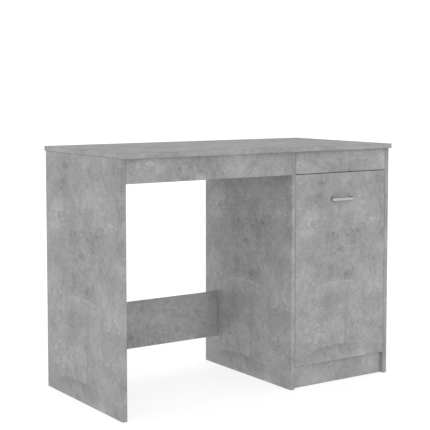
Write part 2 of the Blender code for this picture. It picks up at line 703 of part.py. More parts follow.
# --- Hinges -------------------------------------------------------------------------------------
# The plan of a hinge is drawn in (a, b): a to the right and b to the back of the pivot.

NOSE = (-0.017, 0.007)       # pin in the arm's nose
NOSE_RADIUS = 0.004
CUP_CENTRE = PIVOT_IN - CUP_EDGE - CUP_RADIUS
DOOR_BACK = BOARD - PIVOT_BACK
PANEL_FACE = CABINET_RIGHT - PIVOT.x
ARM_HALF = 0.007             # half the arm's height
ARM_PANEL_SIDE = [(-0.0003, 0.0825), (-0.0003, 0.0365), (-0.005, 0.0235)]
ARM_DOOR_SIDE = [(-0.021, 0.0185), (-0.013, 0.0345), (-0.009, 0.0425), (-0.009, 0.0825)]
FORK_REACH = 0.0085          # slot for the link, around the nose pin
FORK_DEPTH = 0.0045
LINK_HALF = 0.0045
LINK_LENGTH = 0.014
LINK_EYE = 0.003
LINK_TIP = 0.0009
LINK_FLARE = 70              # degrees from the link's line to where its sides leave the eye
LINK_REST_ANGLE = 188.0
CUP_WALL = 0.0015
CUP_FLANGE = 0.0008
CUP_SCREW_LINE = CUP_CENTRE - 0.0095
CUP_SCREW_PITCH = 0.045
EAR_HALF = 0.0055
PLATE_EAR = 0.002            # thickness of the mounting plate's ears
PLATE_EAR_HALF = (0.006, 0.023)
PLATE_BLOCK_HALF = (0.016, 0.009)
PLATE_SCREW_LINE = 0.0485
PLATE_SCREW_PITCH = 0.032
PIN_RADIUS = 0.0015
PIN_RECESS = 0.001           # ends of the nose pin, inside the arm's sides


def in_plan(a, b, z):
    return Vector((PIVOT.x + a, PIVOT.y + b, z))


def hinge_cup(name, z, swing, steel):
    """A turned cup in the door, with a flange, two ears and the screws through them."""
    rim = GAP + CUP_FLANGE
    shape = bmesh.new()
    mouth = in_plan(CUP_CENTRE, DOOR_BACK, z)
    profile = [
        (-CUP_DEPTH, CUP_RADIUS), (GAP, CUP_RADIUS), (GAP, CUP_RADIUS + CUP_WALL),
        (rim, CUP_RADIUS + CUP_WALL),
    ]
    add_turned(shape, mouth, Y, profile, 24)
    cup = as_object(name, shape, steel, swing)
    ears = bmesh.new()
    ear_z = CUP_SCREW_PITCH / 2 + EAR_HALF
    add_box(
        ears, in_plan(CUP_SCREW_LINE - EAR_HALF, DOOR_BACK + GAP, z - ear_z),
        in_plan(CUP_SCREW_LINE + EAR_HALF, DOOR_BACK + rim, z + ear_z))
    boolean(cup, ears, "ears", "UNION")
    hollow = bmesh.new()
    floor = mouth - Y * (CUP_DEPTH - CUP_WALL)
    add_rod(hollow, floor, mouth + Y * (rim + OVERCUT), CUP_RADIUS - CUP_WALL, 24)
    boolean(cup, hollow, "hollow")
    screws = bmesh.new()
    for end in (-1, 1):
        place = in_plan(CUP_SCREW_LINE, DOOR_BACK, z + end * CUP_SCREW_PITCH / 2)
        add_screw(screws, place, Y, rim)
    boolean(cup, screws, "screws", "UNION")
    smooth(cup)


def hinge_arm(name, z, steel):
    """A cranked arm from the plate to the cup, forked at its nose, with the link's pin in the fork."""
    outline = ARM_PANEL_SIDE + arc(NOSE, NOSE_RADIUS, 0, -180, 6) + ARM_DOOR_SIDE
    shape = bmesh.new()
    add_prism(shape, outline, in_plan, z - ARM_HALF, z + ARM_HALF)
    arm = as_object(name, shape, steel)
    slot = bmesh.new()
    half = LINK_HALF + GAP
    add_box(
        slot, in_plan(NOSE[0] - FORK_REACH, NOSE[1] - FORK_REACH, z - half),
        in_plan(NOSE[0] + FORK_REACH, NOSE[1] + FORK_DEPTH, z + half))
    boolean(arm, slot, "fork")
    pin = bmesh.new()
    half = ARM_HALF - PIN_RECESS
    add_rod(pin, in_plan(*NOSE, z - half), in_plan(*NOSE, z + half), PIN_RADIUS)
    boolean(arm, pin, "pin", "UNION")


def hinge_plate(name, z, steel):
    """A mounting plate on the panel: a block for the arm, two ears, and the screws through them."""
    near = PANEL_FACE - GAP
    deep, high = PLATE_BLOCK_HALF
    shape = bmesh.new()
    add_box(
        shape, in_plan(0.0, PLATE_SCREW_LINE - deep, z - high),
        in_plan(near, PLATE_SCREW_LINE + deep, z + high))
    plate = as_object(name, shape, steel)
    deep, high = PLATE_EAR_HALF
    ears = bmesh.new()
    add_box(
        ears, in_plan(near - PLATE_EAR, PLATE_SCREW_LINE - deep, z - high),
        in_plan(near, PLATE_SCREW_LINE + deep, z + high))
    boolean(plate, ears, "ears", "UNION")
    screws = bmesh.new()
    for end in (-1, 1):
        place = in_plan(PANEL_FACE, PLATE_SCREW_LINE, z + end * PLATE_SCREW_PITCH / 2)
        add_screw(screws, place, -X, GAP + PLATE_EAR)
    boolean(plate, screws, "screws", "UNION")


def hinge_link(name, z, steel):
    """The link that swings out of the cup on the arm's pin: an eye and a tapering strip."""
    arm_pin = pivot(f"{name}_axis", in_plan(*NOSE, z))
    turn = radians(LINK_REST_ANGLE)
    tip = (NOSE[0] + LINK_LENGTH * cos(turn), NOSE[1] + LINK_LENGTH * sin(turn))
    outline = arc(
        NOSE, LINK_EYE, LINK_REST_ANGLE + LINK_FLARE, LINK_REST_ANGLE + 360 - LINK_FLARE, 8)
    outline += arc(tip, LINK_TIP, LINK_REST_ANGLE - 90, LINK_REST_ANGLE + 90, 4)
    shape = bmesh.new()
    add_prism(shape, outline, in_plan, z - LINK_HALF, z + LINK_HALF)
    link = as_object(name, shape, steel, arm_pin)
    eye = bmesh.new()
    half = LINK_HALF + OVERCUT
    add_rod(eye, in_plan(*NOSE, z - half), in_plan(*NOSE, z + half), PIN_RADIUS + GAP)
    boolean(link, eye, "eye")


def hinges(swing, door_panel, hardware):
    """Both cup hinges, and the bores that they need in the door and the panel."""
    cup_bores = bmesh.new()
    screw_bores = bmesh.new()
    for side, z in HINGE_HEIGHTS.items():
        hinge_cup(f"hinge_cup_{side}", z, swing, hardware.steel)
        hinge_arm(f"hinge_arm_{side}", z, hardware.steel)
        hinge_plate(f"hinge_plate_{side}", z, hardware.steel)
        hinge_link(f"hinge_link_{side}", z, hardware.steel)
        mouth = in_plan(CUP_CENTRE, DOOR_BACK, z)
        add_rod(
            cup_bores, mouth + Y * OVERCUT, mouth - Y * (CUP_DEPTH + GAP), CUP_RADIUS + GAP, 24)
        for end in (-1, 1):
            place = in_plan(CUP_SCREW_LINE, DOOR_BACK, z + end * CUP_SCREW_PITCH / 2)
            add_rod(screw_bores, place + Y * OVERCUT, place - Y * (SCREW_LENGTH + GAP), SCREW_BORE, 8)
            place = in_plan(PANEL_FACE, PLATE_SCREW_LINE, z + end * PLATE_SCREW_PITCH / 2)
            hardware.bore("right_side_panel", place, X, SCREW_BORE, SCREW_LENGTH + GAP)
    boolean(door_panel, cup_bores, "cup_bores")
    boolean(door_panel, screw_bores, "cup_screw_bores")


# --- The whole desk -----------------------------------------------------------------------------

def main():
    clear_scene()
    laminate = finish("concrete_laminate", (0.34, 0.34, 0.335), 0.55)
    hardboard = finish("lacquered_hardboard", (0.50, 0.50, 0.49), 0.60)
    aluminium = finish("satin_aluminium", (0.72, 0.72, 0.73), 0.32, 1.0)
    steel = finish("zinc_plated_steel", (0.62, 0.63, 0.64), 0.30, 1.0)
    nylon = finish("white_nylon", (0.82, 0.82, 0.80), 0.45)

    slide = pivot("drawer_slide_axis", (CABINET_MIDDLE, PANEL_FRONT, REAR_ROLLER_Z))
    swing = pivot("door_hinge_axis", PIVOT)
    hardware = Hardware(steel)
    drawer_hardware = Hardware(steel, slide)

    boards = frame_boards(laminate, hardboard)
    join_frame(hardware)
    shelf_pins(hardware)
    drawer_boards = drawer_box(slide, laminate, hardboard)
    join_drawer(drawer_hardware)
    runners(hardware, drawer_hardware, nylon)
    door_panel = door(swing, laminate, aluminium, steel)
    hinges(swing, door_panel, hardware)

    hardware.drill(boards)
    drawer_hardware.drill(drawer_boards)


main()
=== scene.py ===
"""Looks of the writing desk: printed boards, aluminium handle, fittings, light and camera.

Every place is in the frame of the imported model: metres, +Z up, the desk's front towards -Y.
"""

from math import cos, pi, radians, sin

import bmesh
import bpy
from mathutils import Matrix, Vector


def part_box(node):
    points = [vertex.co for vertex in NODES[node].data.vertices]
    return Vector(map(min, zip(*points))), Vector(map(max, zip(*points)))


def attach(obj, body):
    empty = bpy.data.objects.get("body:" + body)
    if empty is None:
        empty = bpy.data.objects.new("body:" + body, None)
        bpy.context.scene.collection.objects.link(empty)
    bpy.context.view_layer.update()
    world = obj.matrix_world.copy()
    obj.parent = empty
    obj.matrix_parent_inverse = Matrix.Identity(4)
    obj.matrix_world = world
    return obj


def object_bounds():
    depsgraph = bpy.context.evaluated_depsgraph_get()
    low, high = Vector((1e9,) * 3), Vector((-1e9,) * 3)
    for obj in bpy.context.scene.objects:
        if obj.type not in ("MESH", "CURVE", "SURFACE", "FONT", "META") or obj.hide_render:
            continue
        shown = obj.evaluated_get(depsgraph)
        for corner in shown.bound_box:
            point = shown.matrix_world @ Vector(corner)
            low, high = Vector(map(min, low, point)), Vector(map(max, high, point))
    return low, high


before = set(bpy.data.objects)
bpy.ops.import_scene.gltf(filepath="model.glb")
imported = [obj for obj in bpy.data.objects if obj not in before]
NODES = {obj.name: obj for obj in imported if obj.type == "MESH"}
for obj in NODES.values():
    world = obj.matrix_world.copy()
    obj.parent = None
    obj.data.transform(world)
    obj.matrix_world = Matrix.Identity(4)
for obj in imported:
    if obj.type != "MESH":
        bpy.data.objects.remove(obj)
CAD_LOW, CAD_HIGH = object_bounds()


# --- Shader node helpers ------------------------------------------------------------------------

class Shader:
    """Adds nodes to one tree. Values may be sockets, numbers or tuples."""

    def __init__(self, tree):
        self.tree = tree

    def node(self, kind, **settings):
        made = self.tree.nodes.new(kind)
        for name, value in settings.items():
            setattr(made, name, value)
        return made

    def put(self, socket, value):
        if isinstance(value, bpy.types.NodeSocket):
            self.tree.links.new(value, socket)
        elif value is not None:
            socket.default_value = value

    def math(self, operation, *values, clamp=False):
        made = self.node("ShaderNodeMath", operation=operation, use_clamp=clamp)
        for socket, value in zip(made.inputs, values):
            self.put(socket, value)
        return made.outputs[0]

    def vector(self, operation, *values, out=0):
        made = self.node("ShaderNodeVectorMath", operation=operation)
        for socket, value in zip(made.inputs, values):
            self.put(socket, value)
        return made.outputs[out]

    def add(self, first, *others):
        for other in others:
            first = self.math("ADD", first, other)
        return first

    def times(self, first, *others):
        for other in others:
            first = self.math("MULTIPLY", first, other)
        return first

    def step(self, value, low, high, to_low=0.0, to_high=1.0):
        """Smooth step of value from low to high, mapped to to_low..to_high."""
        made = self.node("ShaderNodeMapRange", interpolation_type="SMOOTHSTEP")
        for name, number in (("Value", value), ("From Min", low), ("From Max", high),
                             ("To Min", to_low), ("To Max", to_high)):
            self.put(made.inputs[name], number)
        return made.outputs["Result"]

    def noise(self, place, scale, detail=2.0, roughness=0.5, distortion=0.0, out="Fac"):
        made = self.node("ShaderNodeTexNoise")
        for name, value in (("Vector", place), ("Scale", scale), ("Detail", detail),
                            ("Roughness", roughness), ("Distortion", distortion)):
            self.put(made.inputs[name], value)
        return made.outputs[out]

    def swing(self, *noise_arguments, **noise_settings):
        """Noise about zero instead of about a half."""
        return self.math("SUBTRACT", self.noise(*noise_arguments, **noise_settings), 0.5)

    def voronoi(self, place, scale, out="Distance", **settings):
        made = self.node("ShaderNodeTexVoronoi", **settings)
        self.put(made.inputs["Vector"], place)
        self.put(made.inputs["Scale"], scale)
        return made.outputs[out]

    def mix(self, share, first, second):
        made = self.node("ShaderNodeMix", data_type="RGBA")
        self.put(made.inputs["Factor"], share)
        for name, value in (("A", first), ("B", second)):
            socket = next(s for s in made.inputs if s.name == name and s.type == "RGBA")
            self.put(socket, value)
        return next(s for s in made.outputs if s.type == "RGBA")

    def split(self, vector):
        made = self.node("ShaderNodeSeparateXYZ")
        self.put(made.inputs[0], vector)
        return made.outputs

    def join(self, x, y, z):
        made = self.node("ShaderNodeCombineXYZ")
        for socket, value in zip(made.inputs, (x, y, z)):
            self.put(socket, value)
        return made.outputs[0]

    def here(self):
        """The piece's own coordinates: the desk's frame at rest, in metres."""
        return self.node("ShaderNodeTexCoord").outputs["Object"]

    def bump(self, height, distance):
        made = self.node("ShaderNodeBump")
        self.put(made.inputs["Strength"], 1.0)
        self.put(made.inputs["Distance"], distance)
        self.put(made.inputs["Height"], height)
        return made.outputs["Normal"]


def new_material(name):
    """A material with one Principled shader. Returns it, its Shader and the Principled node."""
    material = bpy.data.materials.new(name)
    material.use_nodes = True
    material.node_tree.nodes.clear()
    shader = Shader(material.node_tree)
    principled = shader.node("ShaderNodeBsdfPrincipled")
    output = shader.node("ShaderNodeOutputMaterial")
    shader.put(output.inputs["Surface"], principled.outputs["BSDF"])
    return material, shader, principled


def grey(level, tint=(1.0, 1.0, 1.0)):
    return tuple(level * share for share in tint) + (1.0,)


# --- Concrete-look laminate ---------------------------------------------------------------------

SHEET_WIDTH = 0.477      # the printed motif, which is stretched to every large upright board
SHEET_HEIGHT = 0.745
CONCRETE = 0.305         # mean reflectance of the print
NEUTRAL = (1.0, 1.0, 1.0)
LINE_WIDTH = 0.0007      # glue line of the edge band, seen on the faces
RIM_HIGHLIGHT_WIDTH = 0.0022      # width of the painted highlight along the rim next to it
FACE_DEPTH = 0.0004      # the printed face, as against the board's edges
SKIN = 0.0006            # deeper than this a cut shows the chipboard core

# Soft blots. Centre across and along the sheet, radii, and tone: below zero is darker.
SPOTS = (
    (0.275, 0.345, 0.028, 0.021, -0.11),
    (0.178, 0.378, 0.014, 0.034, -0.08),
    (0.200, 0.455, 0.050, 0.060, -0.07),
    (0.305, 0.465, 0.036, 0.034, -0.09),
    (0.270, 0.510, 0.070, 0.028, -0.06),
    (0.350, 0.522, 0.034, 0.013, -0.07),
    (0.382, 0.400, 0.022, 0.015, -0.10),
    (0.095, 0.650, 0.050, 0.024, -0.10),
    (0.130, 0.705, 0.028, 0.015, -0.12),
    (0.300, 0.690, 0.040, 0.020, -0.06),
    (0.420, 0.640, 0.026, 0.024, -0.05),
    (0.085, 0.585, 0.046, 0.018, 0.09),
    (0.062, 0.520, 0.036, 0.016, 0.10),
    (0.110, 0.425, 0.040, 0.026, 0.05),
    (0.018, 0.350, 0.034, 0.032, 0.09),
    (0.240, 0.286, 0.085, 0.022, 0.06),
    (0.385, 0.262, 0.036, 0.017, 0.10),
    (0.128, 0.270, 0.036, 0.015, 0.08),
    (0.420, 0.455, 0.040, 0.034, 0.06),
    (0.330, 0.600, 0.070, 0.026, 0.05),
    (0.170, 0.180, 0.044, 0.044, -0.05),
    (0.300, 0.165, 0.060, 0.050, 0.05),
    (0.030, 0.200, 0.034, 0.040, -0.05),
    (0.455, 0.190, 0.026, 0.050, -0.05),
    (0.290, 0.045, 0.056, 0.034, -0.10),
    (0.140, 0.028, 0.085, 0.030, -0.06),
    (0.100, 0.105, 0.070, 0.016, 0.07),
    (0.400, 0.090, 0.040, 0.024, 0.05),
)
# Trowel marks. Centre across and along, radius, half-width of the stretch that shows, and the
# tones of the line and of the side below it.
ARCS = (
    (0.238, 0.021, 0.296, 0.130, 0.14, 0.03),
    (0.225, -0.455, 0.525, 0.180, 0.11, -0.10),
    (0.345, 0.400, 0.120, 0.055, 0.06, -0.04),
    (0.110, 0.470, 0.105, 0.060, 0.07, -0.02),
)
# Patches of brush marks. Centre across and along, radii, turn from upright in degrees, and tone.
BRUSHES = (
    (0.195, 0.445, 0.065, 0.085, 0, -0.22),
    (0.300, 0.480, 0.060, 0.055, 25, -0.22),
    (0.250, 0.505, 0.110, 0.045, 0, -0.16),
    (0.275, 0.347, 0.044, 0.030, 25, -0.24),
    (0.100, 0.645, 0.070, 0.040, 75, -0.26),
    (0.095, 0.655, 0.065, 0.030, 75, 0.26),
    (0.130, 0.702, 0.055, 0.030, 0, -0.20),
    (0.320, 0.690, 0.070, 0.040, 0, -0.16),
    (0.375, 0.402, 0.060, 0.030, 25, -0.18),
    (0.240, 0.312, 0.140, 0.020, 75, 0.26),
    (0.345, 0.200, 0.040, 0.060, 0, 0.26),
    (0.170, 0.190, 0.070, 0.060, 0, -0.14),
    (0.420, 0.260, 0.070, 0.030, 75, 0.26),
    (0.090, 0.130, 0.100, 0.070, -50, 0.26),
    (0.390, 0.590, 0.120, 0.090, 75, 0.24),
    (0.060, 0.545, 0.080, 0.060, 75, 0.24),
    (0.050, 0.300, 0.070, 0.100, 75, 0.20),
    (0.280, 0.050, 0.085, 0.045, 0, -0.20),
    (0.400, 0.140, 0.090, 0.050, -50, 0.24),
)

# Brush marks all over: turn, scale of the patches, and tone.
LOOSE_BRUSHES = ((0, 9.0, -0.15), (75, 10.5, 0.15), (25, 13.0, -0.12))

# Numbers of the print. A scale is in noise cells per metre of the sheet, a tone is a share of the
# board's tone.
SPOT_OUTSIDE, SPOT_INSIDE = 1.35, 0.35     # where a blot ends and where it is full, in its radii
LINE_EDGE, LINE_CORE = 0.0060, 0.0012      # half-widths of a trowel line: its end, its full tone
ARC_FADE = 0.6                             # share of an arc's reach from which it fades out
ARC_RISE = 0.4                             # height over its centre, in radii, where an arc is full
FADE_LENGTH, FADE_EDGE = 0.045, 0.002      # of the area below a trowel line
BRUSH_SCALE, BRUSH_LENGTH = 120.0, 2.6     # a length is how far marks are drawn out
BRUSH_LOW, BRUSH_HIGH = 0.45, 0.70         # noise from which brush marks start and are full
LOOSE_LOW, LOOSE_HIGH = 0.50, 0.64
STREAK_SCALE, STREAK_LENGTH = 110.0, 7.7
CLUSTER_SCALE, CLUSTER_LOW, CLUSTER_HIGH = 7.0, 0.46, 0.66
STREAK_TONE, STREAK_TONE_IN_CLUSTER = 0.12, 0.42
HAIR_SCALE, HAIR_LENGTH, HAIR_TONE = 260.0, 22.0, 0.11
HAIR_LOW, HAIR_HIGH = 0.68, 0.76
HAIR_TURNS = (28, -63)
HAIR_PATCHES, HAIR_PATCH_LOW, HAIR_PATCH_HIGH = 19.0, 0.56, 0.64
HAIR_PATCH_SHIFT = 20.0                    # degrees of turn for each step in the patches' scale
PIT_SCALE, PIT_EDGE, PIT_CORE, PIT_TONE = 62.0, 0.085, 0.05, -0.22
PIT_SIZE_SCALE, PIT_SIZE_LOW, PIT_SIZE_HIGH = 31.0, 0.56, 0.60
WARP_SCALE, WARP_REACH = 24.0, 0.05        # bends the blots' outlines
CLOUDS, CLOUD_SCALE = 0.46, 5.0            # amounts and scales of the layers, coarse to fine
PATCHES, PATCH_SCALE = 0.58, 15.0
BLOTCHES, BLOTCH_SCALE = 0.50, 46.0
GRAIN, GRAIN_SCALE = 0.64, 170.0
SPECKLE, SPECKLE_SCALE = 0.40, 900.0
PRINT_ROUGHNESS, ROUGHNESS_OF_BLOTCHES, ROUGHNESS_OF_GRAIN = 0.56, -0.35, 0.5
RELIEF_OF_SPECKLE, RELIEF_OF_STREAKS = 0.6, 1.2


def offset_from(shader, place, across, along):
    return shader.vector("SUBTRACT", place, (across, along, 0.0))


def inside(shader, place, across, along, wide, high, to_high):
    """Soft-edged ellipse: to_high in its middle, nothing outside it."""
    offset = offset_from(shader, place, across, along)
    scaled = shader.vector("MULTIPLY", offset, (1.0 / wide, 1.0 / high, 0.0))
    return shader.step(
        shader.vector("LENGTH", scaled, out=1), SPOT_OUTSIDE, SPOT_INSIDE, 0.0, to_high)


def spot_tone(shader, place):
    """Soft irregular blots at fixed places of the sheet."""
    total = 0.0
    for spot in SPOTS:
        total = shader.add(inside(shader, place, *spot), total)
    return total


def arc_tone(shader, place):
    """Thin light arcs, with an area that fades away below each of them."""
    total = 0.0
    for across, along, radius, reach, line_tone, low_tone in ARCS:
        offset = shader.vector("MULTIPLY", offset_from(shader, place, across, along), (1.0, 1.0, 0.0))
        distance = shader.vector("LENGTH", offset, out=1)
        parts = shader.split(offset)
        shown = shader.times(
            shader.step(shader.math("ABSOLUTE", parts[0]), reach, reach * ARC_FADE),
            shader.step(parts[1], 0.0, radius * ARC_RISE))
        from_line = shader.math("SUBTRACT", distance, radius)
        line = shader.step(
            shader.math("ABSOLUTE", from_line), LINE_EDGE, LINE_CORE, 0.0, line_tone)
        below = shader.times(
            shader.step(from_line, -FADE_LENGTH, -FADE_EDGE),
            shader.step(from_line, FADE_EDGE, -FADE_EDGE, 0.0, low_tone))
        total = shader.add(shader.times(shown, shader.add(line, below)), total)
    return total


def turned(shader, place, degrees, length):
    """The place in axes turned from upright, drawn out along the second one."""
    made = shader.node("ShaderNodeMapping", vector_type="TEXTURE")
    shader.put(made.inputs["Vector"], place)
    made.inputs["Rotation"].default_value = (0.0, 0.0, radians(degrees))
    made.inputs["Scale"].default_value = (1.0, length, 1.0)
    return made.outputs[0]


def brush_tone(shader, place):
    """Patches of short, rough brush marks, each in its own direction, and loose ones all over."""
    marks = {}
    total = 0.0
    for across, along, wide, high, turn, tone in BRUSHES:
        if turn not in marks:
            noise = shader.noise(
                turned(shader, place, turn, BRUSH_LENGTH), BRUSH_SCALE, detail=4.0, roughness=0.70)
            marks[turn] = shader.step(noise, BRUSH_LOW, BRUSH_HIGH)
        total = shader.add(
            shader.times(inside(shader, place, across, along, wide, high, tone), marks[turn]), total)
    for turn, scale, tone in LOOSE_BRUSHES:
        where = shader.step(shader.noise(place, scale), LOOSE_LOW, LOOSE_HIGH, 0.0, tone)
        total = shader.add(shader.times(where, marks[turn]), total)
    return total


def streak_tone(shader, place, warped):
    """Fine vertical brush marks, gathered in clusters."""
    marks = shader.swing(
        turned(shader, warped, 0, STREAK_LENGTH), STREAK_SCALE, detail=4.0, roughness=0.65)
    cluster = shader.step(shader.noise(place, CLUSTER_SCALE), CLUSTER_LOW, CLUSTER_HIGH)
    return shader.times(
        marks, shader.math("MULTIPLY_ADD", cluster, STREAK_TONE_IN_CLUSTER, STREAK_TONE))


def scratch_tone(shader, place):
    """Sparse light hairlines in two directions."""
    total = 0.0
    for degrees in HAIR_TURNS:
        hair = shader.noise(
            turned(shader, place, degrees, HAIR_LENGTH), HAIR_SCALE, detail=1.0, roughness=0.4)
        patches = shader.noise(place, HAIR_PATCHES + degrees / HAIR_PATCH_SHIFT, detail=1.0)
        where = shader.step(patches, HAIR_PATCH_LOW, HAIR_PATCH_HIGH)
        total = shader.add(
            shader.times(shader.step(hair, HAIR_LOW, HAIR_HIGH, 0.0, HAIR_TONE), where), total)
    return total


def laminate_group():
    """Node group: place on the sheet in; the print's tone, roughness and height out."""
    tree = bpy.data.node_groups.new("concrete_print", "ShaderNodeTree")
    tree.interface.new_socket("Vector", in_out="INPUT", socket_type="NodeSocketVector")
    for name, kind in (("Tone", "NodeSocketFloat"), ("Roughness", "NodeSocketFloat"),
                       ("Height", "NodeSocketFloat")):
        tree.interface.new_socket(name, in_out="OUTPUT", socket_type=kind)
    shader = Shader(tree)
    place = shader.node("NodeGroupInput").outputs["Vector"]
    out = shader.node("NodeGroupOutput")

    wobble = shader.vector(
        "SUBTRACT", shader.noise(place, WARP_SCALE, detail=4.0, roughness=0.65, out="Color"),
        (0.5,) * 3)
    warped = shader.vector(
        "ADD", place, shader.vector("MULTIPLY", wobble, (WARP_REACH, WARP_REACH, 0.0)))
    clouds = shader.times(shader.swing(place, CLOUD_SCALE), CLOUDS)
    patches = shader.times(
        shader.swing(warped, PATCH_SCALE, detail=5.0, roughness=0.62, distortion=0.35), PATCHES)
    blotches = shader.times(
        shader.swing(warped, BLOTCH_SCALE, detail=4.0, roughness=0.62, distortion=0.5), BLOTCHES)
    grain = shader.times(shader.swing(place, GRAIN_SCALE, detail=4.0, roughness=0.75), GRAIN)
    speckle = shader.times(shader.swing(place, SPECKLE_SCALE, roughness=0.6), SPECKLE)
    streaks = streak_tone(shader, place, warped)
    pit_size = shader.noise(place, PIT_SIZE_SCALE, detail=1.0)
    pits = shader.times(
        shader.step(shader.voronoi(place, PIT_SCALE), PIT_EDGE, PIT_CORE),
        shader.step(pit_size, PIT_SIZE_LOW, PIT_SIZE_HIGH, 0.0, PIT_TONE))
    tone = shader.add(1.0, clouds, patches, blotches, grain, speckle, streaks, pits,
                      spot_tone(shader, warped), arc_tone(shader, warped),
                      brush_tone(shader, warped), scratch_tone(shader, place))
    shader.put(out.inputs["Tone"], tone)
    roughness = shader.add(
        PRINT_ROUGHNESS, shader.times(blotches, ROUGHNESS_OF_BLOTCHES),
        shader.times(grain, ROUGHNESS_OF_GRAIN))
    shader.put(out.inputs["Roughness"], roughness)
    height = shader.add(
        shader.times(speckle, RELIEF_OF_SPECKLE), grain,
        shader.times(streaks, RELIEF_OF_STREAKS), pits)
    shader.put(out.inputs["Height"], height)
    return tree


LAMINATE = laminate_group()
CHIP_COLOURS = ((0.30, 0.225, 0.150, 1.0), (0.175, 0.120, 0.075, 1.0))
CHIP_SCALE, CHIP_SQUASH = 480.0, 2.2
PAINTED_RIM_HIGHLIGHT = 0.05                      # how much lighter the rim of a face is: a painted highlight, as a rounded edge catches light
LINE_TONE = -0.16                    # and how much darker the seam of the edge band
SEAM = (0.4, 1.0, 1.2, 2.2)          # the seam starts, is full, fades, ends: in LINE_WIDTHs
CORE_DEPTH = 1.5                     # where the chipboard shows fully, in SKINs
LAMINATE_SPECULAR = 0.14
PRINT_RELIEF = 0.00025


def chipboard_colour(shader, place):
    """Pressed chips, as a cut through the board shows them."""
    squashed = shader.vector("MULTIPLY", place, (1.0, 1.0, CHIP_SQUASH))
    chips = shader.voronoi(squashed, CHIP_SCALE, out="Color")
    share = shader.split(chips)[0]
    return shader.mix(share, *CHIP_COLOURS)


def laminate_material(node, across, along, offset, motif, painted_light_and_tone):
    """The laminate for one board. across and along are the axes (0 to 2) of its printed face."""
    low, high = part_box(node)
    through = 3 - across - along
    material, shader, principled = new_material("laminate_" + node)
    here = shader.here()
    middle = (low + high) / 2
    size = high - low
    parts = shader.split(shader.vector("SUBTRACT", here, tuple(middle)))
    if motif:
        wide, tall = SHEET_WIDTH / size[across] * motif, SHEET_HEIGHT / size[along]
    else:
        wide, tall = 1.0, 1.0
    sheet = shader.join(
        shader.math("MULTIPLY_ADD", parts[across], wide, SHEET_WIDTH / 2 + offset[0]),
        shader.math("MULTIPLY_ADD", parts[along], tall, SHEET_HEIGHT / 2 + offset[1]),
        shader.add(parts[through], offset[2]))
    printing = shader.node("ShaderNodeGroup", node_tree=LAMINATE)
    shader.put(printing.inputs["Vector"], sheet)

    # Distance to the board's own edges and depth below its skin.
    depths = [shader.math("SUBTRACT", size[axis] / 2, shader.math("ABSOLUTE", parts[axis]))
              for axis in range(3)]
    lesser = shader.math("MINIMUM", depths[0], depths[1])
    greater = shader.math("MAXIMUM", depths[0], depths[1])
    depth = shader.math("MINIMUM", lesser, depths[2])
    edge = shader.math("MAXIMUM", lesser, shader.math("MINIMUM", greater, depths[2]))
    # Painted highlight: a soft lighter band along every edge of a face.
    painted_rim_highlight = shader.step(edge, RIM_HIGHLIGHT_WIDTH, 0.0, 0.0, PAINTED_RIM_HIGHLIGHT)
    line = shader.times(
        shader.step(edge, LINE_WIDTH * SEAM[0], LINE_WIDTH * SEAM[1]),
        shader.step(edge, LINE_WIDTH * SEAM[3], LINE_WIDTH * SEAM[2], 0.0, LINE_TONE))
    tone = shader.add(printing.outputs["Tone"], painted_rim_highlight, line)
    # Painted light and shade: each board's faces made lighter or darker by a factor, in part to even out
    # the tone of its cut of the print.
    faces = shader.step(depths[through], FACE_DEPTH * 2, FACE_DEPTH, 1.0, painted_light_and_tone)
    tone = shader.times(tone, faces)
    printed = shader.vector("MULTIPLY", shader.join(tone, tone, tone), grey(CONCRETE, NEUTRAL)[:3])
    core = shader.step(depth, SKIN, SKIN * CORE_DEPTH)
    colour = shader.mix(core, printed, chipboard_colour(shader, here))
    shader.put(principled.inputs["Base Color"], colour)
    shader.put(principled.inputs["Roughness"], printing.outputs["Roughness"])
    principled.inputs["Specular IOR Level"].default_value = LAMINATE_SPECULAR
    shader.put(principled.inputs["Normal"], shader.bump(printing.outputs["Height"], PRINT_RELIEF))
    return material


# Board: axes across and along its printed face, offset on the sheet, direction in which the one
# motif is stretched across it (0: cut from a plain stretch of the sheet instead), and a factor on
# its faces as against its edges: painted light and shade, partly evening out the print's tone.
BOARDS = {
    "left_side_panel": (1, 2, (0.0, 0.0, 0.0), -1, 0.97),
    # Painted light: the middle panel and the rear stretcher are lightened against the shade of the knee
    # hole.
    "middle_side_panel": (1, 2, (0.0, 0.0, 0.0), -1, 1.06),
    "right_side_panel": (1, 2, (0.0, 0.0, 0.4), 1, 1.0),
    "door_panel": (0, 2, (0.0, 0.0, 0.0), 1, 1.0),
    "drawer_front": (0, 2, (0.02, 0.16, 0.2), 0, 1.04),
    "cabinet_plinth": (0, 2, (0.9, 0.4, 0.3), 0, 1.05),
    "knee_apron": (0, 2, (0.06, 0.13, 0.1), 0, 1.03),
    "rear_stretcher": (0, 2, (0.02, 0.17, 0.7), 0, 1.07),
    # Painted shade: the desktop's upward face is darkened, as by a cast shadow.
    "top_board": (1, 0, (2.6, 0.9, 0.9), 0, 0.82),
    "cabinet_bottom_board": (0, 1, (3.3, 0.4, 1.1), 0, 1.0),
    "drawer_divider_board": (0, 1, (3.9, 0.8, 1.3), 0, 1.0),
    "adjustable_shelf": (0, 1, (4.4, 1.2, 1.5), 0, 1.0),
    "drawer_side_left": (2, 1, (5.1, 0.3, 1.7), 0, 1.0),
    "drawer_side_right": (2, 1, (5.4, 0.9, 1.9), 0, 1.0),
    "drawer_back": (2, 0, (5.8, 1.4, 2.1), 0, 1.0),
}


# --- Other materials ----------------------------------------------------------------------------

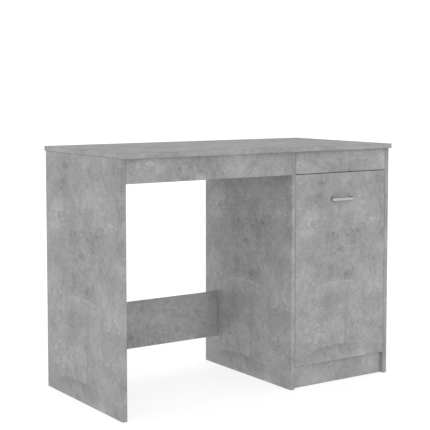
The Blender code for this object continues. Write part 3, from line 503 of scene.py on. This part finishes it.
HARDBOARD_COLOUR = (0.46, 0.46, 0.45)
HARDBOARD_ROUGHNESS, FIBRE_ROUGHNESS = 0.52, 0.3
HARDBOARD_CONTRAST = 0.10
FIBRE_SCALE, FIBRE_RELIEF = 700.0, 0.00006
BRUSHED_SCALE, BRUSHED_RELIEF = 2600.0, 0.00002
BRUSHED_SQUEEZE = 0.02                     # draws the marks out to 50 times their width
BRUSHED_ROUGHNESS, METAL_CLOUD_ROUGHNESS = 0.25, 0.12
METAL_CLOUD_SHARE = 0.5                    # the clouds' contrast as a share of the marks'
PAINTED_REFLECTION_START, PAINTED_REFLECTION_FULL = 0.15, 0.65   # painted reflection: where it starts and where it is full, in a face's upward lean
SPARK_SCALE, SPARK_RELIEF = 1900.0, 0.00004
SPARK_CONTRAST, SPARK_ROUGHNESS = 0.06, 0.2


def hardboard_material():
    """Light grey lacquer on thin hardboard: a faint felt of fibres under it."""
    material, shader, principled = new_material("lacquered_hardboard")
    here = shader.here()
    fibres = shader.swing(here, FIBRE_SCALE, detail=3.0, roughness=0.65)
    clouds = shader.swing(here, scale=16.0, detail=3.0)
    tone = shader.add(
        1.0, shader.times(fibres, HARDBOARD_CONTRAST), shader.times(clouds, HARDBOARD_CONTRAST))
    shader.put(principled.inputs["Base Color"],
               shader.vector("MULTIPLY", shader.join(tone, tone, tone), HARDBOARD_COLOUR))
    shader.put(principled.inputs["Roughness"],
               shader.add(HARDBOARD_ROUGHNESS, shader.times(fibres, FIBRE_ROUGHNESS)))
    shader.put(principled.inputs["Normal"], shader.bump(fibres, FIBRE_RELIEF))
    return material


def metal_material(name, level, tint, along, roughness, contrast, painted_reflection_darkening=0.0):
    """Brushed metal. along is the axis (0 to 2) that the brush marks follow.

    painted_reflection_darkening darkens the colour of what faces up or down: a painted reflection,
    standing in for the dark edges a polished bar shows in a bright room.
    """
    material, shader, principled = new_material(name)
    here = shader.here()
    squeeze = [1.0, 1.0, 1.0]
    squeeze[along] = BRUSHED_SQUEEZE
    brushed = shader.swing(
        shader.vector("MULTIPLY", here, tuple(squeeze)), BRUSHED_SCALE, detail=3.0, roughness=0.7)
    clouds = shader.swing(here, scale=90.0, detail=3.0, roughness=0.6)
    facing = shader.split(shader.node("ShaderNodeTexCoord").outputs["Normal"])[2]
    # Painted reflection: the colour of faces that lean up or down is darkened.
    edges = shader.step(
        shader.math("ABSOLUTE", facing), PAINTED_REFLECTION_START, PAINTED_REFLECTION_FULL, 0.0, -painted_reflection_darkening)
    tone = shader.add(
        1.0, shader.times(brushed, contrast), shader.times(clouds, contrast * METAL_CLOUD_SHARE),
        edges)
    shader.put(principled.inputs["Base Color"],
               shader.vector("MULTIPLY", shader.join(tone, tone, tone), grey(level, tint)[:3]))
    shader.put(principled.inputs["Roughness"],
               shader.add(roughness, shader.times(brushed, BRUSHED_ROUGHNESS),
                          shader.times(clouds, METAL_CLOUD_ROUGHNESS)))
    principled.inputs["Metallic"].default_value = 1.0
    shader.put(principled.inputs["Normal"], shader.bump(brushed, BRUSHED_RELIEF))
    return material


def moulded_material(name, level, tint, roughness):
    """Moulded plastic or rubber with a fine spark-eroded texture."""
    material, shader, principled = new_material(name)
    here = shader.here()
    texture = shader.swing(here, SPARK_SCALE, roughness=0.6)
    clouds = shader.swing(here, scale=60.0)
    tone = shader.add(
        1.0, shader.times(texture, SPARK_CONTRAST), shader.times(clouds, SPARK_CONTRAST))
    shader.put(principled.inputs["Base Color"],
               shader.vector("MULTIPLY", shader.join(tone, tone, tone), grey(level, tint)[:3]))
    shader.put(principled.inputs["Roughness"],
               shader.add(roughness, shader.times(texture, SPARK_ROUGHNESS)))
    shader.put(principled.inputs["Normal"], shader.bump(texture, SPARK_RELIEF))
    return material


# The handle's aluminium carries a painted reflection: its faces that lean up or down are 0.62 darker.
ALUMINIUM = metal_material("satin_aluminium", 0.47, (1.0, 1.0, 1.01), 0, 0.36, 0.22, 0.62)
ZINC_LONG = metal_material("zinc_plated_sheet", 0.55, (0.99, 1.0, 1.01), 1, 0.34, 0.12)
ZINC_CAST = metal_material("zinc_die_cast", 0.50, (1.0, 1.0, 1.0), 2, 0.42, 0.10)
NYLON = moulded_material("white_nylon", 0.74, (1.0, 1.0, 0.975), 0.42)
CAP_PLASTIC = moulded_material("grey_cap_plastic", 0.33, (1.0, 1.0, 1.0), 0.48)
BUMPER_RUBBER = moulded_material("bumper_rubber", 0.55, (1.0, 0.99, 0.96), 0.35)
HARDBOARD = hardboard_material()


# --- Carried-over CAD nodes ---------------------------------------------------------------------

MERGE_DISTANCE = 0.00001
SMOOTH_ANGLE = radians(35.0)


def clean_mesh_group():
    """Geometry nodes: joins the triangles' corners again and shades by angle."""
    tree = bpy.data.node_groups.new("clean_mesh", "GeometryNodeTree")
    tree.interface.new_socket("Geometry", in_out="INPUT", socket_type="NodeSocketGeometry")
    tree.interface.new_socket("Geometry", in_out="OUTPUT", socket_type="NodeSocketGeometry")
    shader = Shader(tree)
    merged = shader.node("GeometryNodeMergeByDistance")
    merged.inputs["Distance"].default_value = MERGE_DISTANCE
    plain = shader.node("GeometryNodeRemoveAttribute")
    plain.inputs["Name"].default_value = "custom_normal"
    smooth = shader.node("GeometryNodeSetShadeSmooth", domain="FACE")
    smooth.inputs["Shade Smooth"].default_value = True
    angle = shader.node("GeometryNodeInputMeshEdgeAngle")
    sharp = shader.node("GeometryNodeSetShadeSmooth", domain="EDGE")
    sharp.inputs["Shade Smooth"].default_value = False
    source, out = shader.node("NodeGroupInput"), shader.node("NodeGroupOutput")
    chain = (source, merged, plain, smooth, sharp, out)
    for first, second in zip(chain, chain[1:]):
        shader.put(second.inputs["Geometry"], first.outputs["Geometry"])
    shader.put(sharp.inputs["Selection"],
               shader.math("GREATER_THAN", angle.outputs["Unsigned Angle"], SMOOTH_ANGLE))
    return tree


CLEAN_MESH = clean_mesh_group()
FLAT_ANGLE = radians(0.3)     # below this, neighbouring faces become one
ROUND_ANGLE = radians(50.0)   # above this, an edge is rounded
BOARD_ROUNDING, FRONT_ROUNDING = 0.0005, 0.0003
HANDLE_ROUNDING, ROLLER_ROUNDING = 0.0011, 0.0004
SHEET_ROUNDING, CAST_ROUNDING = 0.00015, 0.0002
FRONTS = ("door_panel", "drawer_front")
HARDBOARDS = ("cabinet_back_panel", "drawer_bottom")


def dress(node, material, rounding, segments=2):
    """A CAD node's finish: its material and softly rounded edges."""
    piece = NODES[node]
    for slot in piece.material_slots:
        slot.link = "OBJECT"
        slot.material = material
    clean = piece.modifiers.new("clean", "NODES")
    clean.node_group = CLEAN_MESH
    flat = piece.modifiers.new("flat_faces", "DECIMATE")
    flat.decimate_type = "DISSOLVE"
    flat.angle_limit = FLAT_ANGLE
    rounded = piece.modifiers.new("round_edges", "BEVEL")
    rounded.width = rounding
    rounded.segments = segments
    rounded.limit_method = "ANGLE"
    rounded.angle_limit = ROUND_ANGLE
    rounded.use_clamp_overlap = "rail" in node   # a rail's thin lips would fold over
    rounded.harden_normals = True


for board, cut in BOARDS.items():
    rounding = FRONT_ROUNDING if board in FRONTS else BOARD_ROUNDING
    dress(board, laminate_material(board, *cut), rounding)
for node in HARDBOARDS:
    dress(node, HARDBOARD, CAST_ROUNDING, 1)
for node in sorted(set(NODES) - set(BOARDS) - set(HARDBOARDS)):
    if node == "door_handle":
        dress(node, ALUMINIUM, HANDLE_ROUNDING, 4)
    elif "roller" in node:
        dress(node, NYLON, ROLLER_ROUNDING)
    elif "rail" in node or "hinge" in node:
        dress(node, ZINC_LONG, SHEET_ROUNDING, 1)
    else:
        dress(node, ZINC_CAST, CAST_ROUNDING, 1)


# --- Small parts that the CAD leaves out --------------------------------------------------------

CAM_RADIUS = 0.0075
CAP_RADIUS = 0.0092
CAP_HEIGHT = 0.0009
PAD_RADIUS = 0.005
PAD_PLAY = 0.00015       # left between a pad and the board it stops the door against
TURNED_SIDES = 40
CAP_SEAT = 0.0003        # a cam lies this far under the board's face
PAD_INSET = 0.018        # pad's centre, in from the door's free edge
# Profiles as shares of the height and the radius: a flat cap with a shallow dish, and a dome.
CAP_PROFILE = ((0.0, 1.0), (0.45, 1.0), (0.80, 0.975), (1.0, 0.93), (1.0, 0.86), (0.88, 0.78),
               (0.85, 0.10))
PAD_PROFILE = ((0.0, 1.0), (0.45, 0.97), (0.8, 0.82), (0.97, 0.5), (1.0, 0.12))

# Cam fitting: the axis its disc shows along and the side it shows on, then the axis of its bolt
# and the side the bolt points to.
CAPPED_CAMS = {
    "top_cam_left": (0, 1, 2, 1),
    "top_cam_middle": (0, 1, 2, 1),
    "top_cam_right": (0, -1, 2, 1),
    "apron_cam_left": (1, 1, 0, -1),
    "apron_cam_right": (1, 1, 0, 1),
    "stretcher_cam_left": (1, 1, 0, -1),
    "stretcher_cam_right": (1, 1, 0, 1),
    "divider_cam_left": (2, -1, 0, -1),
    "divider_cam_right": (2, -1, 0, 1),
    "bottom_cam_left": (2, -1, 0, -1),
    "bottom_cam_right": (2, -1, 0, 1),
}


def turned_piece(name, profile, height, radius, place, axis, side, material):
    """A turned piece standing on a board, with its profile from the board up."""
    mesh = bpy.data.meshes.new(name)
    shape = bmesh.new()
    rings = []
    for rise, share in profile:
        ring = []
        for step in range(TURNED_SIDES):
            angle = 2 * pi * step / TURNED_SIDES
            reach = radius * share
            ring.append(shape.verts.new((reach * cos(angle), reach * sin(angle), height * rise)))
        rings.append(ring)
    for lower, upper in zip(rings, rings[1:]):
        for step in range(TURNED_SIDES):
            after = (step + 1) % TURNED_SIDES
            shape.faces.new((lower[step], lower[after], upper[after], upper[step])).smooth = True
    shape.faces.new(list(reversed(rings[0])))
    shape.faces.new(rings[-1]).smooth = True
    shape.to_mesh(mesh)
    shape.free()
    piece = bpy.data.objects.new(name, mesh)
    bpy.context.scene.collection.objects.link(piece)
    mesh.materials.append(material)
    out = Vector((0.0, 0.0, 0.0))
    out[axis] = side
    piece.rotation_mode = "QUATERNION"
    piece.rotation_quaternion = out.to_track_quat("Z", "Y")
    piece.location = place
    return piece


def cover_caps():
    """A plastic cap over every cam of the frame."""
    for name in sorted(NODES):
        key = name.removesuffix("_front").removesuffix("_rear")
        if key not in CAPPED_CAMS:
            continue
        axis, side, bolt_axis, bolt_side = CAPPED_CAMS[key]
        low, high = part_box(name)
        place = (low + high) / 2
        place[axis] = (high if side > 0 else low)[axis] + side * CAP_SEAT
        place[bolt_axis] = low[bolt_axis] + CAM_RADIUS if bolt_side > 0 else high[bolt_axis] - CAM_RADIUS
        cap = turned_piece(
            name.replace("cam", "cap", 1), CAP_PROFILE, CAP_HEIGHT, CAP_RADIUS, place, axis, side,
            CAP_PLASTIC)
        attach(cap, "desk_frame")


def bumper_pads():
    """Two clear domed pads behind the door, where it meets the cabinet's boards."""
    door_low, door_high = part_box("door_panel")
    for side, board in (("upper", "drawer_divider_board"), ("lower", "cabinet_bottom_board")):
        low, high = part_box(board)
        room = low.y - door_high.y - PAD_PLAY
        place = Vector((door_low.x + PAD_INSET, door_high.y, (low.z + high.z) / 2))
        pad = turned_piece(
            "bumper_pad_" + side, PAD_PROFILE, room, PAD_RADIUS, place, 1, 1, BUMPER_RUBBER)
        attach(pad, "door")


cover_caps()
bumper_pads()


# --- Floor, light and camera --------------------------------------------------------------------

FLOOR_RADIUS, FLOOR_SIDES = 40.0, 96
FLOOR_DROP = 0.0002      # clear of the panels' lower edges
FLOOR_LEVEL, FLOOR_GLOW = 0.30, 0.76
FLOOR_ROUGHNESS, FLOOR_SPECULAR = 0.8, 0.1
SKY_STRENGTH, KEY_STRENGTH = 1.06, 0.22
KEY_SPREAD, KEY_TILT, KEY_TURN = radians(60.0), radians(60.0), radians(-40.0)
CAMERA_PLACE = (-2.032, -2.952, 0.949)
CAMERA_DIP, CAMERA_TURN = 0.077, -0.597
CAMERA_LENS, CAMERA_SENSOR, CAMERA_SHIFT = 94.19, 36.0, -0.10


def make_floor():
    """A pale floor that glows a little, as a lit studio floor does."""
    mesh = bpy.data.meshes.new("floor")
    shape = bmesh.new()
    bmesh.ops.create_circle(shape, cap_ends=True, radius=FLOOR_RADIUS, segments=FLOOR_SIDES)
    shape.to_mesh(mesh)
    shape.free()
    floor = bpy.data.objects.new("floor", mesh)
    bpy.context.scene.collection.objects.link(floor)
    floor.location.z = CAD_LOW.z - FLOOR_DROP
    material, shader, principled = new_material("pale_floor")
    principled.inputs["Base Color"].default_value = grey(FLOOR_LEVEL)
    principled.inputs["Emission Color"].default_value = grey(1.0)
    principled.inputs["Emission Strength"].default_value = FLOOR_GLOW
    principled.inputs["Roughness"].default_value = FLOOR_ROUGHNESS
    principled.inputs["Specular IOR Level"].default_value = FLOOR_SPECULAR
    mesh.materials.append(material)


def make_lights():
    """An even white surround and a broad, weak key light from the front left."""
    world = bpy.data.worlds.new("studio")
    bpy.context.scene.world = world
    world.use_nodes = True
    background = world.node_tree.nodes["Background"]
    background.inputs["Color"].default_value = (1.0, 1.0, 1.0, 1.0)
    background.inputs["Strength"].default_value = SKY_STRENGTH
    lamp = bpy.data.lights.new("key", "SUN")
    lamp.energy = KEY_STRENGTH
    lamp.angle = KEY_SPREAD
    key = bpy.data.objects.new("key", lamp)
    key.rotation_euler = (KEY_TILT, 0.0, KEY_TURN)
    bpy.context.scene.collection.objects.link(key)


def make_camera():
    """The camera at the photograph's place."""
    data = bpy.data.cameras.new("camera")
    data.lens = CAMERA_LENS
    data.sensor_width = CAMERA_SENSOR
    data.shift_y = CAMERA_SHIFT
    camera = bpy.data.objects.new("camera", data)
    camera.location = CAMERA_PLACE
    camera.rotation_euler = (pi / 2 - CAMERA_DIP, 0.0, CAMERA_TURN)
    bpy.context.scene.collection.objects.link(camera)
    bpy.context.scene.camera = camera


make_floor()
make_lights()
make_camera()
bpy.context.scene.view_settings.view_transform = "Standard"
